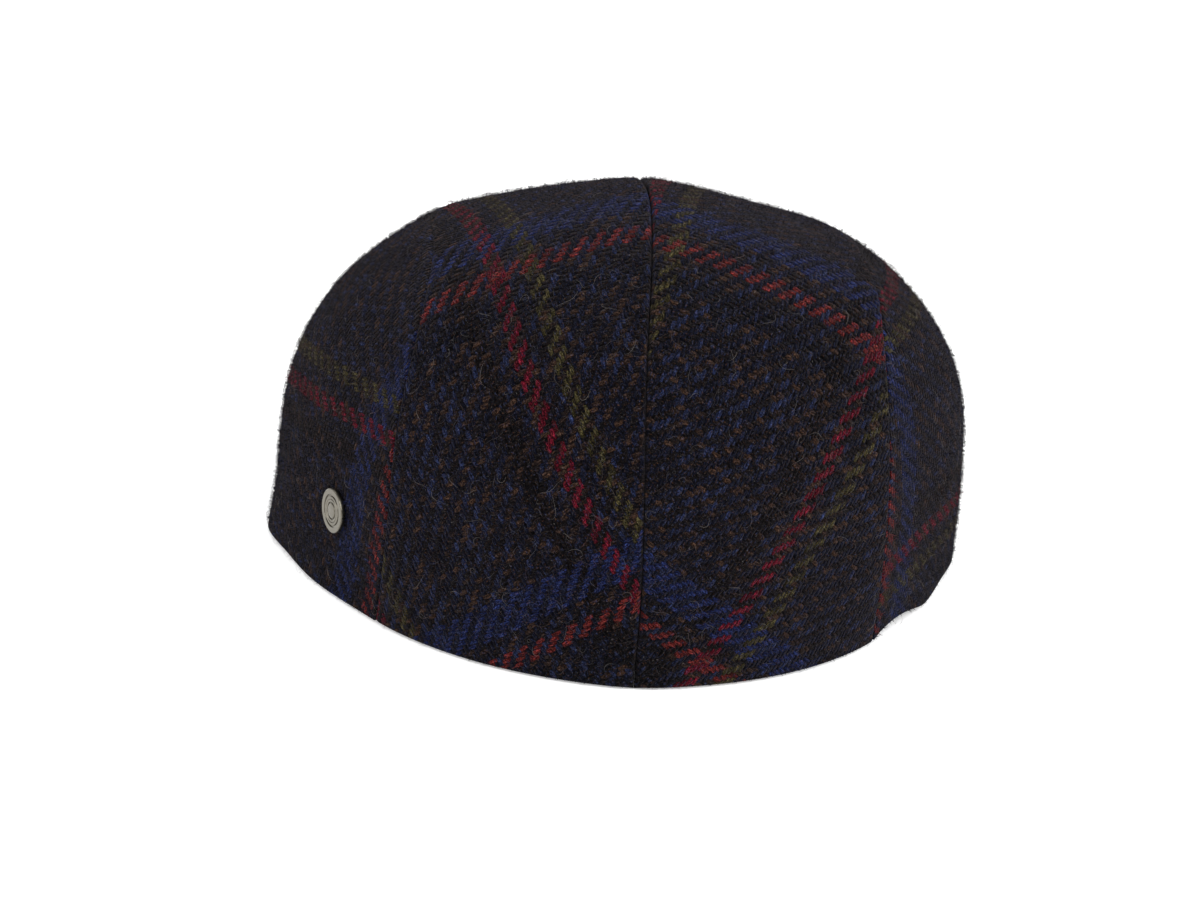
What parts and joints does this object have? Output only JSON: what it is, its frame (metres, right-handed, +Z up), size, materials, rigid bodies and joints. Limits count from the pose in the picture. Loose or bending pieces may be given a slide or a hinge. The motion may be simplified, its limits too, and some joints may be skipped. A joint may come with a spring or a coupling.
{
  "type": "flat cap",
  "caption": "Soft checked tweed flat cap with a full rounded crown of sewn panels, a short stiff peak in front and a small round metal badge on one side; worn on the head.",
  "frame": {"origin": "middle of the bottom of the cap's bounding box, on the floor that the rim rests on", "axes": "+Z up, the peak points to -Y, +X is the wearer's left"},
  "size_m": [0.185, 0.2559, 0.105],
  "materials": {
    "tweed": "matt woollen twill, dark with a fine check",
    "badge_metal": "pale satin metal"
  },
  "bodies": {
    "root": {"crown_top_left": "tweed", "crown_top_right": "tweed", "crown_side_left": "tweed", "crown_side_right": "tweed", "peak": "tweed", "badge": "badge_metal"}
  },
  "joints": []
}
